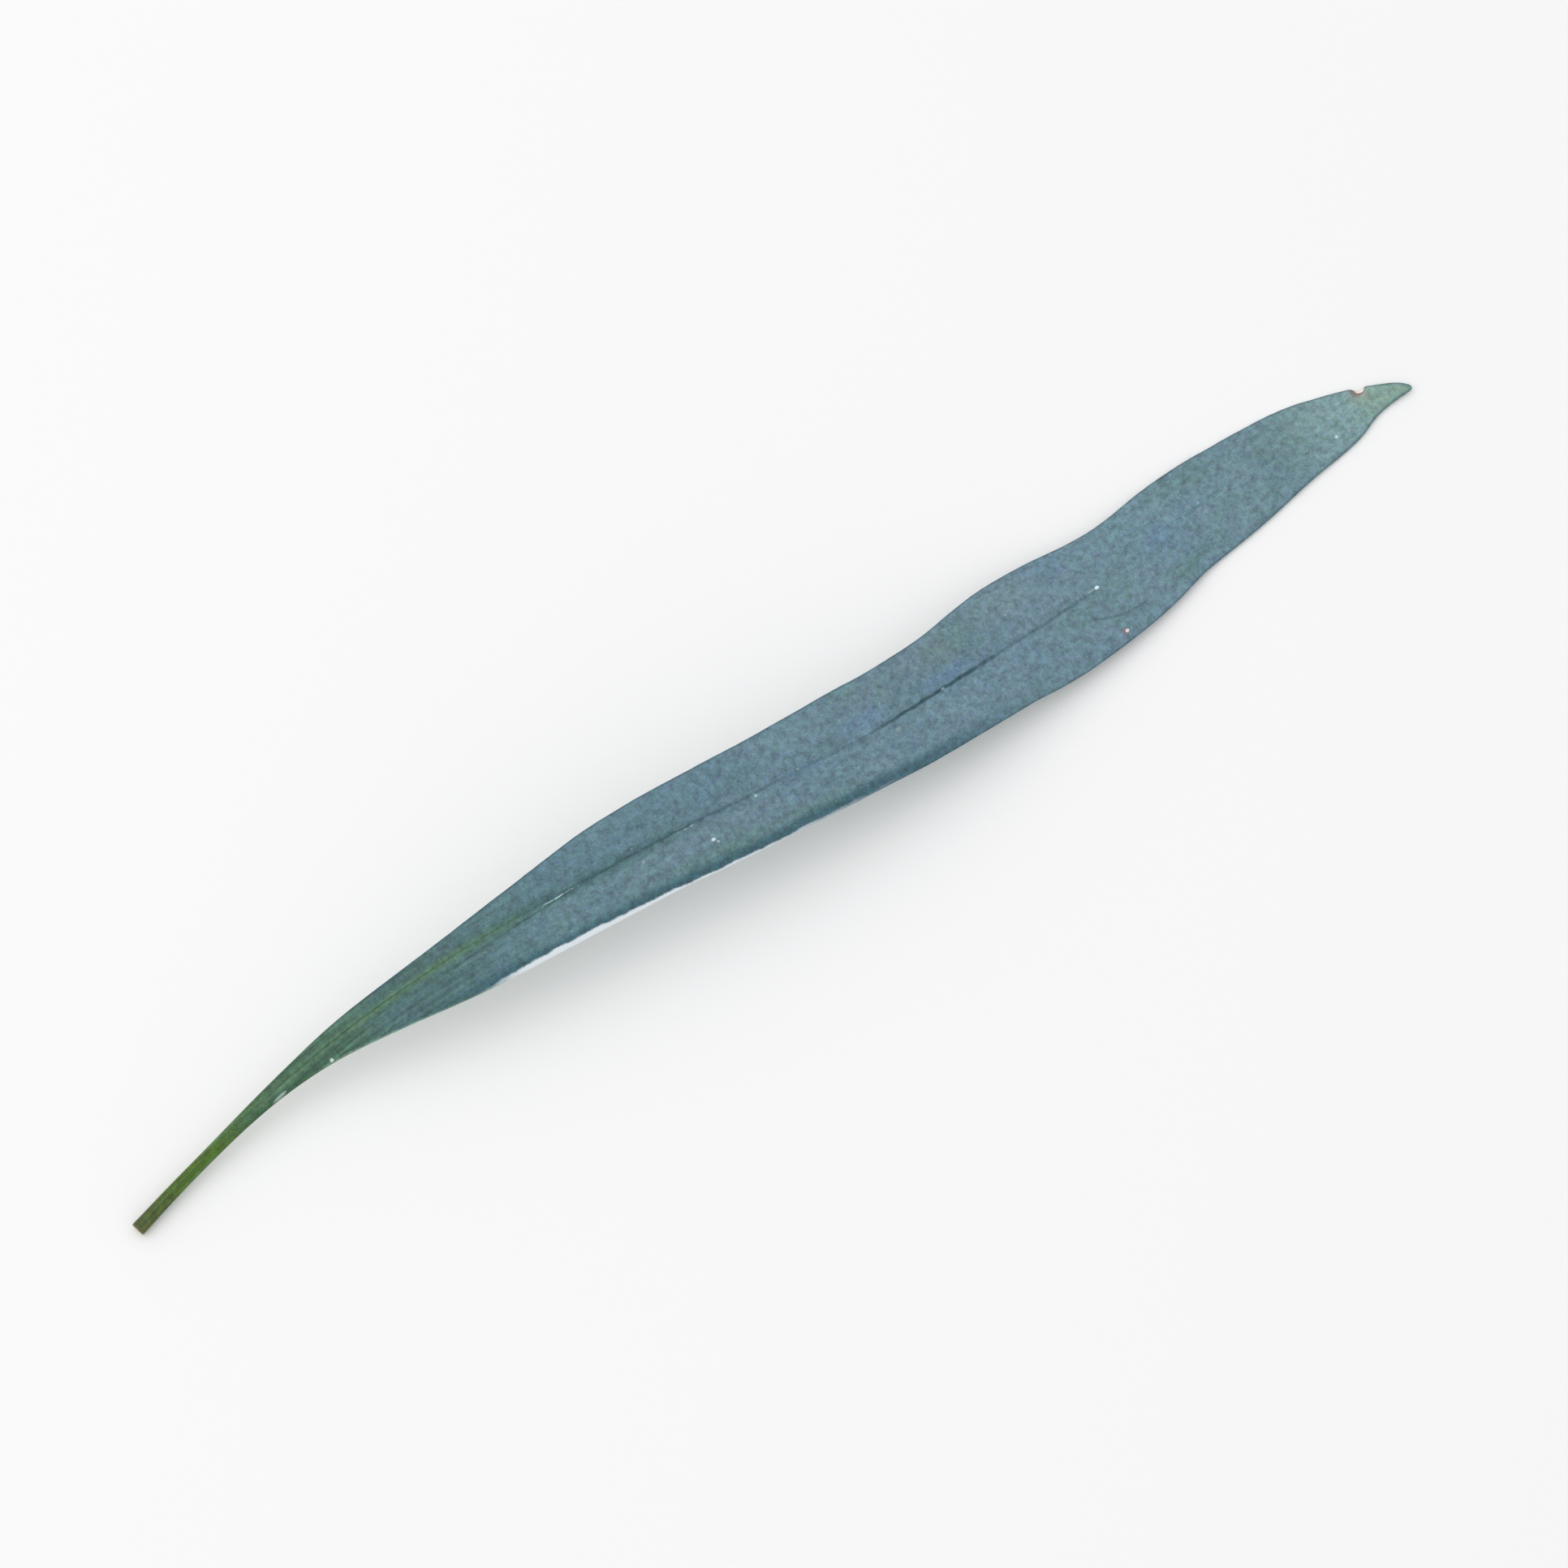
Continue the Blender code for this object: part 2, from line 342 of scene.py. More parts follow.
midline.data.twist_mode = "Z_UP"
midline.data.resolution_u = MIDLINE_STEPS
bends = midline.data.splines[0].bezier_points
bends.add(len(MIDLINE) - len(bends))
for bend, (along, left, up, roll) in zip(bends, MIDLINE):
    bend.co = Vector((along * FROND_LENGTH, left * FROND_LENGTH, up * ARCH_HEIGHT)) * MM
    bend.tilt = math.radians(roll)
    bend.handle_left_type = "AUTO"
    bend.handle_right_type = "AUTO"
bpy.context.view_layer.objects.active = frond_leaf
finish_with("CURVE", object=midline, deform_axis="POS_X")
bpy.data.objects.remove(midline)

points = np.array([point.co for point in leaf.vertices])
frond_low, frond_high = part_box("frond")
middle = (Vector(points.min(0)) + Vector(points.max(0))) / 2
frond_leaf.location = (frond_low + frond_high) / 2 - middle
frond_leaf.location.z = frond_low.z - points[:, 2].min()
frond_leaf.select_set(True)
bpy.ops.object.transform_apply(location=True)
bpy.ops.object.shade_smooth()

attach(frond_leaf, "root")
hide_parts("frond")


# ---------------------------------------------------------------------------------------------
# Upper skin. Leathery leaf skin, green at the stalk and blue-grey along the blade under a thin
# waxy bloom. It grew with the blade: pale dots, streaks, creases and small scars are all in it.
# Painted shade darkens the groove, the midrib's sides, the edges and the crease, and painted
# highlights lie on the groove's bank, the right edge near the stalk and the pale rolled rim.
# ---------------------------------------------------------------------------------------------
def paint(red, green, blue):
    """A colour given as a paint chart gives it, 0 to 255, as the shader wants it."""
    shares = [value / 255 for value in (red, green, blue)]
    linear = [share / 12.92 if share < 0.04 else ((share + 0.055) / 1.055) ** 2.4 for share in shares]
    return (*linear, 1.0)


def plug(tree, socket, value):
    """Links a socket to another node's output, or sets it to a plain value."""
    if isinstance(value, bpy.types.NodeSocket):
        tree.links.new(value, socket)
    else:
        socket.default_value = value


def add_node(tree, kind, inputs, **settings):
    """Adds a shader node with its settings and inputs, and returns its outputs."""
    made = tree.nodes.new("ShaderNode" + kind)
    for name, value in settings.items():
        setattr(made, name, value)
    for name, value in inputs.items():
        plug(tree, made.inputs[name], value)
    return made.outputs


def work_out(tree, operation, *values):
    """One step of arithmetic between numbers and sockets."""
    made = tree.nodes.new("ShaderNodeMath")
    made.operation = operation
    for socket, value in zip(made.inputs, values):
        plug(tree, socket, value)
    return made.outputs["Value"]


def fade(tree, value, start, stop, full=1.0):
    """A mask that goes smoothly from 0 at start to full at stop, whichever of them is higher."""
    ends = {"Value": value, "From Min": start, "From Max": stop, "To Max": full}
    return add_node(tree, "MapRange", ends, interpolation_type="SMOOTHSTEP")["Result"]


def both(tree, *masks):
    """The product of several masks."""
    product = masks[0]
    for mask in masks[1:]:
        product = work_out(tree, "MULTIPLY", product, mask)
    return product


def cover(tree, under, over, mask, how="MIX"):
    """Lays one colour over another where the mask says."""
    made = tree.nodes.new("ShaderNodeMix")
    made.data_type = "RGBA"
    made.blend_type = how
    lower, upper = [socket for socket in made.inputs if socket.type == "RGBA"]
    plug(tree, made.inputs["Factor"], mask)
    plug(tree, lower, under)
    plug(tree, upper, over)
    return next(socket for socket in made.outputs if socket.type == "RGBA")


def noise(tree, place, scale, detail=2.0, harshness=0.5, wanted="Fac"):
    """Cloudy noise from 0 to 1, whose scale is in patches to the millimetre."""
    cloud = {"Vector": place, "Scale": scale, "Detail": detail, "Roughness": harshness}
    return add_node(tree, "TexNoise", cloud)[wanted]


def colour_run(tree, value, stops):
    """Colours that follow one another as the value goes from 0 to 1."""
    made = tree.nodes.new("ShaderNodeValToRGB")
    plug(tree, made.inputs["Fac"], value)
    bands = made.color_ramp.elements
    while len(bands) < len(stops):
        bands.new(0.5)
    for band, (position, _) in zip(bands, stops):
        band.position = position
    for band, (_, colour) in zip(bands, stops):
        band.color = paint(*colour)
    return made.outputs["Color"]


def new_group(name, inputs, outputs):
    """A shader node group with named sockets, given back with its inside ends."""
    group = bpy.data.node_groups.new(name, "ShaderNodeTree")
    for direction, sockets in (("INPUT", inputs), ("OUTPUT", outputs)):
        for socket, kind in sockets.items():
            group.interface.new_socket(socket, in_out=direction, socket_type="NodeSocket" + kind)
    given = group.nodes.new("NodeGroupInput").outputs
    wanted = group.nodes.new("NodeGroupOutput").inputs
    return group, given, wanted


def use_group(tree, group, **inputs):
    """Places a node group in a material and returns its outputs."""
    return add_node(tree, "Group", inputs, node_tree=group)


# Ruler: turns the two maps into millimetres along, across (left is positive) and in from the edge.
ruler, _, ruled = new_group(
    "leaf_ruler", {}, {"Place": "Vector", "Along": "Float", "Across": "Float", "In": "Float"}
)
flat = add_node(ruler, "UVMap", {}, uv_map="flat_leaf")["UV"]
flat = add_node(ruler, "SeparateXYZ", {"Vector": flat})
out = add_node(ruler, "UVMap", {}, uv_map="edge_ruler")["UV"]
out = add_node(ruler, "SeparateXYZ", {"Vector": out})
along = work_out(ruler, "MULTIPLY", flat["X"], FROND_LENGTH)
across = work_out(ruler, "MULTIPLY_ADD", flat["Y"], FROND_LENGTH, -FROND_LENGTH / 2)
half_width = work_out(ruler, "MULTIPLY", out["X"], FROND_LENGTH)
plug(ruler, ruled["Along"], along)
plug(ruler, ruled["Across"], across)
plug(ruler, ruled["In"], both(ruler, half_width, work_out(ruler, "SUBTRACT", 1.0, out["Y"])))
plug(ruler, ruled["Place"], add_node(ruler, "CombineXYZ", {"X": along, "Y": across})["Vector"])

# Speckle: the fine salt-and-pepper of the skin, its sparse pale dots, and streaks along the frond.
speckle, given, wanted = new_group(
    "skin_speckle",
    {"Place": "Vector"},
    {"Grain": "Float", "Tint": "Color", "Dots": "Float", "Streaks": "Float", "Height": "Float"},
)
grain = noise(speckle, given["Place"], 1.1, 5.0, 0.9)
tint = noise(speckle, given["Place"], 1.9, 3.0, 0.7, "Color")
cells = add_node(speckle, "TexVoronoi", {"Vector": given["Place"], "Scale": 1.5})
cell_kinds = add_node(speckle, "SeparateColor", {"Color": cells["Color"]})
dot = both(
    speckle,
    fade(speckle, cells["Distance"], 0.16, 0.07),
    fade(speckle, cell_kinds["Red"], 0.55, 0.95),
)
stretched = add_node(
    speckle, "VectorMath", {0: given["Place"], 1: (0.09, 3.2, 1.0)}, operation="MULTIPLY"
)["Vector"]
plug(speckle, wanted["Grain"], grain)
plug(speckle, wanted["Tint"], tint)
plug(speckle, wanted["Dots"], dot)
plug(speckle, wanted["Streaks"], noise(speckle, stretched, 1.0))
plug(speckle, wanted["Height"], work_out(speckle, "MULTIPLY_ADD", dot, 0.5, grain))

# Spot: a soft-edged oval on the flat leaf, full strength out to its core.
spot, given, wanted = new_group(
    "soft_spot",
    {"Place": "Vector", "Middle": "Vector", "Reach": "Vector", "Core": "Float"},
    {"Mask": "Float"},
)
off = add_node(spot, "VectorMath", {0: given["Place"], 1: given["Middle"]}, operation="SUBTRACT")
off = add_node(spot, "VectorMath", {0: off["Vector"], 1: given["Reach"]}, operation="DIVIDE")
off = add_node(spot, "VectorMath", {0: off["Vector"]}, operation="LENGTH")["Value"]
plug(spot, wanted["Mask"], fade(spot, off, 1.0, given["Core"]))


def add_spots(tree, tone, place, spots):
    """Lays soft spots over a colour: along, across, their reaches, core, strength and colour."""
    for at, left, reach_along, reach_across, core, strength, colour in spots:
        oval = {"Middle": (at, left, 0), "Reach": (reach_along, reach_across, 1), "Core": core}
        mask = use_group(tree, spot, Place=place, **oval)["Mask"]
        tone = cover(tree, tone, paint(*colour), work_out(tree, "MULTIPLY", mask, strength))
    return tone


def stretch(tree, along, start, full, fading, stop, strength=1.0):
    """A mask for one stretch of the frond, in millimetres from the cut end."""
    return both(tree, fade(tree, along, start, full), fade(tree, along, stop, fading, strength))


UPPER_COLOURS = (
    (0.000, (82, 88, 36)),
    (0.040, (76, 104, 22)),
    (0.085, (72, 106, 12)),
    (0.115, (56, 94, 22)),
    (0.150, (56, 94, 60)),
    (0.200, (74, 108, 102)),
    (0.255, (79, 114, 114)),
    (0.330, (93, 125, 136)),
    (0.450, (99, 127, 139)),
    (0.600, (104, 132, 144)),
    (0.780, (107, 135, 147)),
    (0.900, (108, 137, 145)),
    (0.950, (128, 158, 160)),
    (0.980, (138, 170, 162)),
    (1.000, (136, 168, 156)),
)
# Broad patches: along, across, reach along and across, core, strength, colour.
UPPER_PATCHES = (
    (36.0, -2.4, 9.0, 2.4, 0.2, 0.60, (70, 100, 110)),
    (35.0, 1.2, 8.0, 1.6, 0.2, 0.50, (70, 96, 98)),
    (21.0, -0.6, 9.0, 1.3, 0.2, 0.55, (58, 92, 74)),
    (21.0, 0.7, 8.0, 0.8, 0.2, 0.40, (62, 92, 80)),
    (48.0, 2.4, 16.0, 3.0, 0.2, 0.35, (84, 115, 124)),
    (66.0, 3.0, 14.0, 2.8, 0.2, 0.25, (90, 126, 136)),
    (62.0, -2.0, 20.0, 2.4, 0.2, 0.30, (108, 132, 140)),
    (68.0, -3.9, 20.0, 1.3, 0.2, 0.45, (92, 126, 118)),
    (77.0, 3.2, 6.0, 2.4, 0.0, 0.30, (120, 152, 160)),
    (80.0, 0.9, 5.0, 0.9, 0.0, 0.35, (88, 124, 122)),
    (84.2, 1.3, 3.6, 1.4, 0.0, 0.60, (98, 126, 162)),
    (94.2, 0.9, 6.0, 1.2, 0.0, 0.50, (94, 122, 156)),
    (94.6, 3.2, 3.4, 2.2, 0.0, 0.40, (96, 124, 112)),
    (92.0, 4.0, 12.0, 3.0, 0.0, 0.28, (112, 130, 130)),
    (103.0, 4.2, 6.0, 3.0, 0.0, 0.45, (120, 142, 146)),
    (108.0, 1.8, 6.0, 2.2, 0.0, 0.25, (118, 142, 154)),
    (118.0, 3.2, 5.0, 2.6, 0.0, 0.40, (106, 144, 152)),
    (113.5, -1.2, 3.0, 1.8, 0.0, 0.35, (118, 144, 158)),
    (120.0, 0.4, 4.0, 2.0, 0.0, 0.35, (98, 130, 158)),
    (120.5, -3.4, 4.0, 1.8, 0.0, 0.50, (88, 122, 108)),
    (126.0, 3.8, 7.0, 2.2, 0.0, 0.48, (92, 124, 122)),
    (125.5, 0.8, 4.0, 1.8, 0.0, 0.30, (106, 138, 160)),
    (133.0, 2.0, 5.0, 2.2, 0.0, 0.25, (96, 124, 120)),
    (139.0, 1.6, 5.0, 2.2, 0.0, 0.30, (122, 150, 146)),
    (147.0, 0.0, 4.4, 2.6, 0.3, 0.60, (138, 166, 152)),
)
# Small marks, in the same order: bites and grazes that healed pale, grains of dust, and first
# a painted highlight on the right edge near the stalk.
UPPER_MARKS = (
    # A painted highlight on the right edge near the stalk.
    (18.2, -0.80, 1.1, 0.16, 0.3, 0.65, (190, 212, 204)),
    (24.2, -1.40, 0.26, 0.22, 0.4, 0.80, (214, 226, 220)),
    (65.8, -2.4, 0.28, 0.22, 0.4, 0.95, (226, 236, 240)),
    (66.1, -2.75, 0.20, 0.16, 0.3, 0.70, (196, 210, 212)),
    (58.9, -1.2, 0.30, 0.24, 0.2, 0.45, (168, 184, 188)),
    (71.4, -0.3, 0.24, 0.22, 0.3, 0.75, (188, 204, 204)),
    (76.2, 0.25, 0.20, 0.18, 0.3, 0.50, (166, 186, 188)),
    (86.7, -1.1, 0.48, 0.42, 0.2, 0.50, (146, 170, 168)),
    (92.8, 0.0, 0.28, 0.18, 0.4, 0.60, (158, 180, 186)),
    (111.9, 0.1, 0.34, 0.24, 0.4, 0.92, (226, 236, 242)),
    (111.2, 0.15, 0.55, 0.14, 0.3, 0.60, (170, 192, 200)),
    (111.35, -5.0, 0.50, 0.44, 0.5, 0.65, (136, 104, 110)),
    (111.5, -5.05, 0.25, 0.22, 0.5, 0.95, (232, 226, 224)),
    (125.1, 0.3, 0.50, 0.40, 0.1, 0.45, (160, 184, 204)),
    (125.4, 0.9, 0.24, 0.20, 0.3, 0.40, (170, 192, 206)),
    (138.1, 1.9, 0.46, 0.36, 0.1, 0.40, (164, 186, 184)),
    (140.5, -1.4, 0.24, 0.24, 0.4, 0.80, (196, 212, 214)),
    (144.8, 1.10, 1.60, 1.20, 0.2, 0.45, (150, 154, 138)),
    (144.9, 1.86, 0.84, 0.98, 0.62, 0.80, (128, 98, 92)),
    (145.1, 2.00, 0.58, 0.76, 0.60, 0.97, (246, 228, 222)),
)

upper_skin = leaf.materials[UPPER]
upper_skin.use_nodes = True
tree = upper_skin.node_tree
ruled = use_group(tree, ruler)
place, along, across, inward = ruled["Place"], ruled["Along"], ruled["Across"], ruled["In"]
skin = use_group(tree, speckle, Place=place)
tone = colour_run(tree, work_out(tree, "DIVIDE", along, FROND_LENGTH), UPPER_COLOURS)
tone = add_spots(tree, tone, place, UPPER_PATCHES)

# Cloudy drifts of the bloom: paler, bluer and greener by turns.
drifting = noise(tree, place, 0.22, 3.0)
flat_part = fade(tree, along, 22.0, 46.0)
pale_drift = both(tree, fade(tree, drifting, 0.52, 0.72, 0.30), flat_part)
tone = cover(tree, tone, paint(122, 148, 158), pale_drift)
deep_drift = both(tree, fade(tree, drifting, 0.46, 0.28, 0.30), flat_part)
tone = cover(tree, tone, paint(82, 116, 124), deep_drift)
shifted = add_node(tree, "VectorMath", {0: place, 1: (61, 17, 5)}, operation="ADD")["Vector"]
hue = noise(tree, shifted, 0.16)
blue_drift = both(tree, fade(tree, hue, 0.50, 0.72, 0.22), flat_part)
tone = cover(tree, tone, paint(96, 128, 154), blue_drift)
green_drift = both(tree, fade(tree, hue, 0.48, 0.28, 0.24), flat_part)
tone = cover(tree, tone, paint(92, 128, 118), green_drift)

# Stalk and lower blade: fine streaks along it, a pale green midrib, and painted shade beside it:
# dark green on both sides of the midrib and a dark line down the groove's right side.
streaky = both(
    tree,
    fade(tree, skin["Streaks"], 0.48, 0.62),
    fade(tree, along, 66.0, 14.0, 0.50),
)
tone = cover(tree, tone, paint(38, 72, 52), streaky)
streaky = both(
    tree,
    fade(tree, skin["Streaks"], 0.46, 0.34),
    fade(tree, along, 62.0, 14.0, 0.40),
)
tone = cover(tree, tone, paint(104, 146, 112), streaky)
beside = work_out(tree, "ABSOLUTE", across)
# Painted shade: dark green on both sides of the midrib, over the stalk and lower blade.
flank_shade = both(tree, fade(tree, beside, 1.1, 0.5), stretch(tree, along, 10.0, 18.0, 56.0, 72.0, 0.40))
tone = cover(tree, tone, paint(54, 94, 88), flank_shade)
midrib_glow = both(
    tree,
    fade(tree, beside, 0.90, 0.20),
    fade(tree, skin["Streaks"], 0.26, 0.60),
    stretch(tree, along, 8.0, 20.0, 40.0, 52.0, 0.50),
)
tone = cover(tree, tone, paint(108, 140, 104), midrib_glow)
midrib_line = both(tree, fade(tree, beside, 0.45, 0.05), stretch(tree, along, 14.0, 22.0, 40.0, 50.0, 0.44))
tone = cover(tree, tone, paint(98, 134, 104), midrib_line)
# Painted shade: a dark line down the groove's right side that closes into the groove.
groove_side_shade = work_out(tree, "ABSOLUTE", work_out(tree, "ADD", across, fade(tree, along, 60.0, 36.0, 1.15)))
groove_side_shade = both(tree, fade(tree, groove_side_shade, 0.20, 0.04), stretch(tree, along, 34.0, 41.0, 52.0, 60.0, 0.50))
tone = cover(tree, tone, paint(44, 74, 72), groove_side_shade)

# Groove: painted shade, a fine dark line that wanders, thickens and breaks, with painted glints along its
# bank.
wander = work_out(tree, "MULTIPLY_ADD", noise(tree, place, 0.45, 4.0), 0.55, -0.275)
line = work_out(tree, "ABSOLUTE", work_out(tree, "ADD", across, wander))
broken = fade(tree, noise(tree, shifted, 0.7), 0.28, 0.46)
lower_groove = both(tree, broken, stretch(tree, along, 48.0, 57.0, 66.0, 78.0, 0.42))
upper_groove = both(tree, broken, stretch(tree, along, 74.0, 90.0, 110.0, 112.5, 0.36))
deepest = stretch(tree, along, 83.0, 89.0, 99.0, 100.6, 0.50)
depth = work_out(tree, "ADD", work_out(tree, "ADD", lower_groove, upper_groove), deepest)
# Painted shade: the dark line in the groove.
groove_shade = both(tree, fade(tree, line, 0.30, 0.04), depth)
tone = cover(tree, tone, paint(38, 72, 80), groove_shade)
glint = both(
    tree,
    fade(tree, line, 0.27, 0.20),
    fade(tree, line, 0.09, 0.17),
    fade(tree, across, 0.0, -0.1),
    fade(tree, noise(tree, place, 1.6), 0.36, 0.56),
)
glint_runs = work_out(
    tree,
    "ADD",
    stretch(tree, along, 48.4, 49.6, 52.0, 53.4, 0.9),
    stretch(tree, along, 62.8, 63.6, 64.4, 65.2, 0.8),
)
tone = cover(tree, tone, paint(196, 214, 206), both(tree, glint, glint_runs))

# Edges: a hair-fine dark line of painted shade, and the pale rolled rim of the lower right edge
# inside a dark band, partly its own pale hairs and partly a painted reflection.
right_side = fade(tree, across, 0.1, -0.1)
# Painted shade: a hair-fine dark line along both edges.
edge_shade_line = both(tree, fade(tree, inward, 0.42, 0.06), fade(tree, along, 20.0, 30.0, 0.60))
tone = cover(tree, tone, paint(50, 84, 96), edge_shade_line)
dark_band = both(
    tree,
    fade(tree, inward, 1.7, 0.7),
    right_side,
    stretch(tree, along, 33.0, 44.0, 82.0, 104.0, 0.78),
)
tone = cover(tree, tone, paint(46, 88, 98), dark_band)
ragged = work_out(tree, "MULTIPLY_ADD", noise(tree, place, 0.7, 4.0, 0.7), 0.60, 0.32)
narrowing = fade(tree, along, 50.0, 64.0, 0.36)
rim_width = both(tree, work_out(tree, "SUBTRACT", ragged, narrowing), fade(tree, along, 35.0, 46.0))
rim_step = work_out(tree, "SUBTRACT", inward, rim_width)
# The rolled rim's mask: partly its own pale hairs, partly a painted reflection on the down-turned margin.
rim_and_sheen = both(
    tree,
    fade(tree, rim_step, 0.14, -0.12),
    right_side,
    stretch(tree, along, 38.0, 45.0, 64.0, 88.0, 0.95),
)
thin_rim = both(
    tree,
    fade(tree, inward, 0.30, 0.08),
    right_side,
    stretch(tree, along, 20.0, 26.0, 38.0, 45.0, 0.60),
)
tone = cover(tree, tone, paint(142, 172, 150), thin_rim)

tone = add_spots(tree, tone, place, UPPER_MARKS)

# A fine crease that curves from the end of the groove out towards the right edge; its darker
# line is painted shade in the fold.
CREASE_MIDDLE = (114.5, 5.15, 0.0)
CREASE_RADIUS = 9.0
from_middle = add_node(tree, "VectorMath", {0: place, 1: CREASE_MIDDLE}, operation="DISTANCE")["Value"]
off_crease = work_out(tree, "ABSOLUTE", work_out(tree, "SUBTRACT", from_middle, CREASE_RADIUS))
# Painted shade along the crease.
crease = both(
    tree,
    fade(tree, off_crease, 0.22, 0.05),
    stretch(tree, along, 108.5, 110.4, 113.6, 116.2, 0.50),
    right_side,
)
tone = cover(tree, tone, paint(66, 92, 98), crease)

# The grain darkens and lightens whatever lies under it, and the dots are scattered last.
shade = add_node(
    tree,
    "MapRange",
    {"Value": skin["Grain"], "From Min": 0.34, "From Max": 0.66, "To Min": 0.56, "To Max": 1.50},
)["Result"]
tone = cover(tree, tone, skin["Tint"], 0.24, "OVERLAY")
tone = cover(tree, tone, shade, 1.0, "MULTIPLY")
# The pale rim is laid after the grain: its own pale hairs with a painted reflection on them.
pale_rim = both(tree, rim_and_sheen, fade(tree, skin["Grain"], 0.15, 0.40))
tone = cover(tree, tone, paint(236, 243, 247), pale_rim)
on_blade = both(tree, skin["Dots"], fade(tree, along, 30.0, 60.0, 0.55))
tone = cover(tree, tone, paint(160, 184, 194), on_blade)

shader = tree.nodes["Principled BSDF"]
plug(tree, shader.inputs["Base Color"], tone)
roughness = add_node(
    tree,
    "MapRange",
    {
        "Value": work_out(tree, "SUBTRACT", drifting, work_out(tree, "MULTIPLY", rim_and_sheen, 0.6)),
        "From Min": -0.2,
        "From Max": 0.8,
        "To Min": 0.30,
        "To Max": 0.62,
    },
)["Result"]
plug(tree, shader.inputs["Roughness"], roughness)
shader.inputs["Specular IOR Level"].default_value = 0.35
height = work_out(tree, "SUBTRACT", skin["Height"], both(tree, groove_shade, 1.5))
height = work_out(tree, "SUBTRACT", height, crease)
bump = {"Height": height, "Strength": 0.6, "Distance": 0.03 * MM}
plug(tree, shader.inputs["Normal"], add_node(tree, "Bump", bump)["Normal"])

# ---------------------------------------------------------------------------------------------
# Under skin. The same leaf skin without the bloom: paler and greyer, felted with short hairs
# that lie aslant, with a greener rib down the middle. The stalk is green all round.
# ---------------------------------------------------------------------------------------------
UNDER_COLOURS = (
    (0.000, (88, 92, 56)),
    (0.050, (96, 116, 70)),
    (0.120, (98, 122, 90)),
    (0.220, (118, 140, 126)),
    (0.400, (134, 154, 152)),
    (0.700, (142, 161, 162)),
    (0.930, (142, 162, 160)),
    (1.000, (140, 164, 148)),
)
under_skin = leaf.materials[UNDER]
under_skin.use_nodes = True
tree = under_skin.node_tree
ruled = use_group(tree, ruler)
place, along, across, inward = ruled["Place"], ruled["Along"], ruled["Across"], ruled["In"]
skin = use_group(tree, speckle, Place=place)
tone = colour_run(tree, work_out(tree, "DIVIDE", along, FROND_LENGTH), UNDER_COLOURS)
drifting = noise(tree, place, 0.2, 3.0)
tone = cover(tree, tone, paint(160, 176, 178), fade(tree, drifting, 0.50, 0.72, 0.45))
tone = cover(tree, tone, paint(116, 140, 136), fade(tree, drifting, 0.46, 0.28, 0.40))

# Short dark flecks lie aslant, forward and outward from the rib on both sides.
beside = work_out(tree, "ABSOLUTE", across)
aslant = add_node(tree, "CombineXYZ", {"X": along, "Y": beside})["Vector"]
aslant = add_node(
    tree,
    "Mapping",
    {"Vector": aslant, "Rotation": (0, 0, math.radians(-38)), "Scale": (0.75, 3.4, 1)},
)["Vector"]
flecks = both(
    tree,
    fade(tree, noise(tree, aslant, 1.0, 1.0), 0.56, 0.70, 0.60),
    fade(tree, along, 25.0, 50.0),
)
tone = cover(tree, tone, paint(84, 110, 112), flecks)
streaky = both(tree, fade(tree, skin["Streaks"], 0.50, 0.66), fade(tree, along, 60.0, 14.0, 0.50))
tone = cover(tree, tone, paint(62, 88, 60), streaky)
rib = both(tree, fade(tree, beside, 1.0, 0.35), fade(tree, along, 148.0, 118.0, 0.65))
tone = cover(tree, tone, paint(116, 140, 98), rib)
pale_rim = both(tree, fade(tree, inward, 0.8, 0.1), fade(tree, along, 20.0, 36.0, 0.55))
tone = cover(tree, tone, paint(184, 198, 200), pale_rim)
shade = add_node(
    tree,
    "MapRange",
    {"Value": skin["Grain"], "From Min": 0.33, "From Max": 0.67, "To Min": 0.70, "To Max": 1.30},
)["Result"]
tone = cover(tree, tone, shade, 1.0, "MULTIPLY")
shader = tree.nodes["Principled BSDF"]
plug(tree, shader.inputs["Base Color"], tone)
shader.inputs["Roughness"].default_value = 0.72
height = work_out(tree, "SUBTRACT", skin["Height"], flecks)
bump = {"Height": height, "Strength": 0.8, "Distance": 0.03 * MM}
plug(tree, shader.inputs["Normal"], add_node(tree, "Bump", bump)["Normal"])

# ---------------------------------------------------------------------------------------------
# Cut end. The bare end of the stalk: pale moist flesh inside a darker rind, with a ring of dark
# strands in it. The knife left it flat, and the flesh has shrunk back a little from its rim.
# ---------------------------------------------------------------------------------------------
RIND_RADIUS = 0.70
RIND_WIDTH = 0.22
STRAND_RING = 0.33
STRANDS = 5
cut_end = leaf.materials[CUT_END]
cut_end.use_nodes = True
tree = cut_end.node_tree
cut_faces = [face for face in leaf.polygons if face.material_index == CUT_END]
cut_middle = sum((face.center * face.area for face in cut_faces), Vector()) / sum(
    face.area for face in cut_faces
)
place = add_node(tree, "TexCoord", {})["Object"]
place = add_node(tree, "VectorMath", {0: place, 1: cut_middle}, operation="SUBTRACT")["Vector"]
place = add_node(tree, "VectorMath", {0: place, 1: (0, 1 / MM, 1 / MM)}, operation="MULTIPLY")["Vector"]
skin = use_group(tree, speckle, Place=place)
tone = cover(tree, paint(150, 166, 112), paint(176, 186, 138), skin["Grain"])
for strand in range(STRANDS):
    turn = math.tau * (strand + 0.5) / STRANDS
    middle = (0, STRAND_RING * math.cos(turn), STRAND_RING * math.sin(turn))
    mask = use_group(tree, spot, Place=place, Middle=middle, Reach=(1, 0.13, 0.11), Core=0.4)["Mask"]
    tone = cover(tree, tone, paint(92, 84, 50), mask)
from_middle = add_node(tree, "VectorMath", {0: place}, operation="LENGTH")["Value"]
rind = fade(tree, from_middle, RIND_RADIUS - RIND_WIDTH, RIND_RADIUS)
